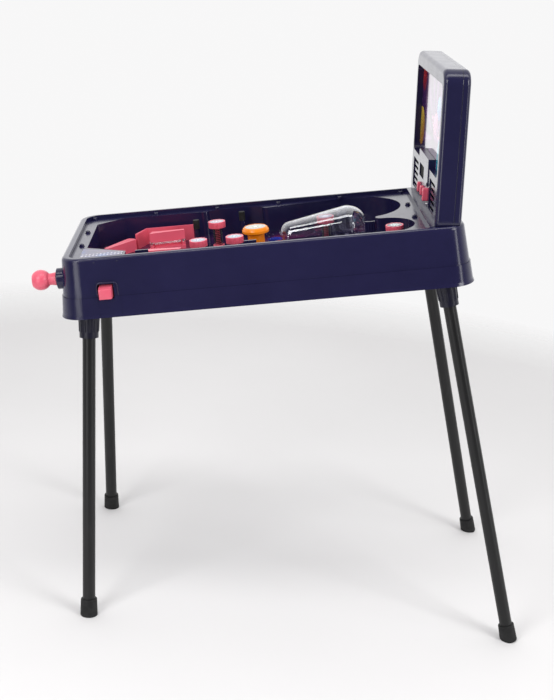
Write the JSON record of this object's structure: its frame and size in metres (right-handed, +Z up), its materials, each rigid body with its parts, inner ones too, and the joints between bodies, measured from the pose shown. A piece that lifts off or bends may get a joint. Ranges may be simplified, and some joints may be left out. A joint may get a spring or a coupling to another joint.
{
  "type": "toy pinball table",
  "caption": "Child's standing pinball table: sloping navy body on splayed black legs, open playfield with bumpers, clear dome and flippers, pull plunger and upright score cabinet.",
  "frame": {"origin": "on the floor, under the middle of the table's overall box", "axes": "+Z up, +X to the player's right, -Y towards the player, +Y towards the score cabinet"},
  "size_m": [0.4122, 0.8094, 0.8932],
  "materials": {
    "navy_plastic": "glossy moulded ABS",
    "pink_plastic": "satin moulded ABS",
    "orange_plastic": "glossy moulded ABS",
    "black_plastic": "matt moulded",
    "clear_plastic": "clear polished",
    "dark_window": "polished smoked",
    "printed_field": "printed board under varnish",
    "printed_picture": "gloss printed sheet",
    "foil_label": "silver foil sticker",
    "bright_steel": "bright plated",
    "black_wire": "black oxide wire",
    "black_steel": "satin black powder coat",
    "black_rubber": "matt moulded rubber",
    "circuit": "solder-masked board"
  },
  "bodies": {
    "table": {"cabinet_shell": "navy_plastic", "base_tray": "navy_plastic", "deck": "navy_plastic", "deck_screws": "navy_plastic", "post_front": "navy_plastic", "post_back": "navy_plastic", "arch_divider": "navy_plastic", "shooter_lane": "navy_plastic", "plunger_collar": "navy_plastic", "backbox_front": "navy_plastic", "backbox_rear": "navy_plastic", "score_panel": "navy_plastic", "battery_door": "navy_plastic", "front_left_socket": "navy_plastic", "front_right_socket": "navy_plastic", "rear_left_socket": "navy_plastic", "rear_right_socket": "navy_plastic", "playfield": "printed_field", "apron_label": "foil_label", "battery_box": "black_plastic", "speaker": "black_plastic", "left_lane_guide": "pink_plastic", "right_lane_guide": "pink_plastic", "left_slingshot": "pink_plastic", "right_slingshot": "pink_plastic", "bumper_front_right": "pink_plastic", "bumper_left": "pink_plastic", "bumper_mid_right": "pink_plastic", "bumper_dome": "pink_plastic", "bumper_back_right": "pink_plastic", "slingshot_screws": "bright_steel", "slingshot_springs": "bright_steel", "plunger_spring": "bright_steel", "backbox_screws": "bright_steel", "bumper_springs": "black_wire", "orange_bumper": "orange_plastic", "clear_dome": "clear_plastic", "post_sleeve_front": "black_rubber", "post_sleeve_back": "black_rubber", "front_left_foot": "black_rubber", "front_right_foot": "black_rubber", "rear_left_foot": "black_rubber", "rear_right_foot": "black_rubber", "picture_sheet": "printed_picture", "display_window": "dark_window", "circuit_board": "circuit", "front_left_leg": "black_steel", "front_right_leg": "black_steel", "rear_left_leg": "black_steel", "rear_right_leg": "black_steel"},
    "plunger": {"plunger_knob": "pink_plastic", "plunger_rod": "bright_steel"},
    "ball": {"ball": "bright_steel"},
    "left_button": {"left_button": "pink_plastic"},
    "right_button": {"right_button": "pink_plastic"},
    "left_flipper": {"left_flipper": "pink_plastic"},
    "right_flipper": {"right_flipper": "pink_plastic"},
    "key_left": {"key_left": "pink_plastic"},
    "key_middle": {"key_middle": "pink_plastic"},
    "key_right": {"key_right": "pink_plastic"}
  },
  "joints": [
    {"name": "plunger_pull", "type": "slide", "parent": "table", "child": "plunger", "axis": [0, -0.9857, -0.1685], "range_m": [0, 0.03], "stiffness_N_per_m": 120, "deforming": ["plunger_spring"]},
    {"name": "ball_roll", "type": "slide", "parent": "table", "child": "ball", "axis": [0, 0.9857, 0.1685], "range_m": [0, 0.34]},
    {"name": "left_flipper_swing", "type": "hinge", "parent": "table", "child": "left_flipper", "pos_m": [-0.063, -0.26982, 0.54188], "axis": [0, -0.1685, 0.9857], "range_deg": [0, 50], "stiffness_Nm_per_rad": 0.02},
    {"name": "right_flipper_swing", "type": "hinge", "parent": "table", "child": "right_flipper", "pos_m": [0.055, -0.26982, 0.54188], "axis": [0, 0.1685, -0.9857], "range_deg": [0, 50], "stiffness_Nm_per_rad": 0.02},
    {"name": "left_button_press", "type": "slide", "parent": "table", "child": "left_button", "axis": [1, 0, 0], "range_m": [0, 0.0068]},
    {"name": "right_button_press", "type": "slide", "parent": "table", "child": "right_button", "axis": [-1, 0, 0], "range_m": [0, 0.0068]},
    {"name": "key_left_press", "type": "slide", "parent": "table", "child": "key_left", "axis": [0, 0.9979, 0.0645], "range_m": [0, 0.002], "stiffness_N_per_m": 300},
    {"name": "key_middle_press", "type": "slide", "parent": "table", "child": "key_middle", "axis": [0, 0.9979, 0.0645], "range_m": [0, 0.002], "stiffness_N_per_m": 300},
    {"name": "key_right_press", "type": "slide", "parent": "table", "child": "key_right", "axis": [0, 0.9979, 0.0645], "range_m": [0, 0.002], "stiffness_N_per_m": 300}
  ],
  "couplings": [
    {"joint": "left_button_press", "follows": "left_flipper_swing", "m_per_rad": 0.0077533},
    {"joint": "right_button_press", "follows": "right_flipper_swing", "m_per_rad": 0.0077533}
  ]
}
